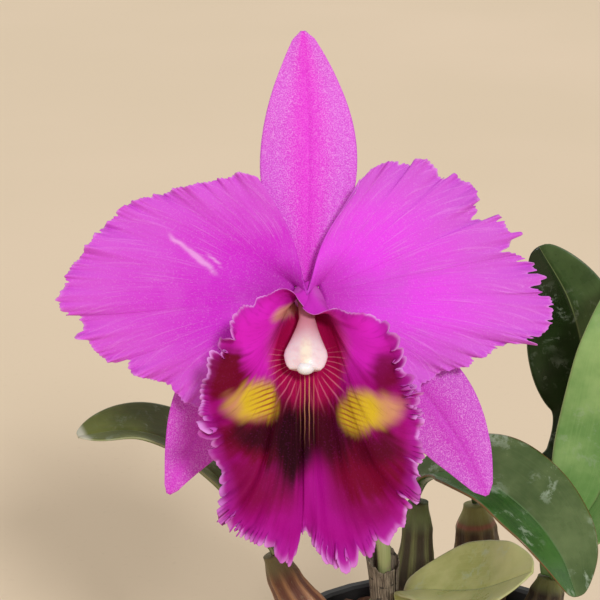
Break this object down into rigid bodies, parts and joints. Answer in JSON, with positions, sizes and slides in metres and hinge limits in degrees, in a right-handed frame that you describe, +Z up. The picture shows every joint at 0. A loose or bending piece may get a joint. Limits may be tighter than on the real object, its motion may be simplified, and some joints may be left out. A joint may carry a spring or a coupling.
{
  "type": "potted orchid",
  "caption": "Potted cattleya orchid with one large frilled flower, a trumpet-shaped lip, ridged bulbs and thick strap leaves in a round nursery pot of bark.",
  "frame": {"origin": "middle of the pot's underside", "axes": "+Z up, the flower looks along -Y, +X to the viewer's right"},
  "size_m": [0.2151, 0.1618, 0.3435],
  "materials": {
    "pot": "black moulded plastic with a soft sheen",
    "bark_medium": "dry pine bark chips",
    "rhizome": "woody creeping stem with a dry skin",
    "pseudobulb_lead": "ridged, with a dry skin",
    "pseudobulb_left": "ridged, brown, with a dry skin",
    "pseudobulb_middle": "ridged, dark green and brown stripes",
    "pseudobulb_right": "ridged, brown-purple, with a pale green neck",
    "pseudobulb_far_right": "ridged, dark",
    "leaf_left": "thick leaf, matt, with a pale tip",
    "leaf_arched": "thick glossy dark green leaf with water stains",
    "leaf_tall": "thick dark green leaf",
    "leaf_bright": "thick light green leaf",
    "leaf_front": "thick yellow-green leaf",
    "sheath": "dry and papery, grey-brown with dark flecks",
    "flower_stem": "smooth pale green",
    "dorsal_sepal": "crystalline magenta-pink with a deeper middle stripe",
    "lateral_sepal_left": "crystalline magenta-pink",
    "lateral_sepal_right": "crystalline magenta-pink",
    "petal_left": "crystalline magenta-pink with lighter veins",
    "petal_right": "crystalline magenta-pink with lighter veins",
    "lip": "velvety crimson and magenta with yellow eyes and gold veins",
    "column": "waxy white and pink",
    "anther_cap": "waxy white"
  },
  "bodies": {
    "root": {"pot": "pot", "bark_medium": "bark_medium", "rhizome": "rhizome", "pseudobulb_lead": "pseudobulb_lead", "pseudobulb_left": "pseudobulb_left", "pseudobulb_middle": "pseudobulb_middle", "pseudobulb_right": "pseudobulb_right", "pseudobulb_far_right": "pseudobulb_far_right", "leaf_left": "leaf_left", "leaf_arched": "leaf_arched", "leaf_tall": "leaf_tall", "leaf_bright": "leaf_bright", "leaf_front": "leaf_front", "sheath": "sheath", "flower_stem": "flower_stem", "dorsal_sepal": "dorsal_sepal", "lateral_sepal_left": "lateral_sepal_left", "lateral_sepal_right": "lateral_sepal_right", "petal_left": "petal_left", "petal_right": "petal_right", "lip": "lip", "column": "column", "anther_cap": "anther_cap"}
  },
  "joints": []
}
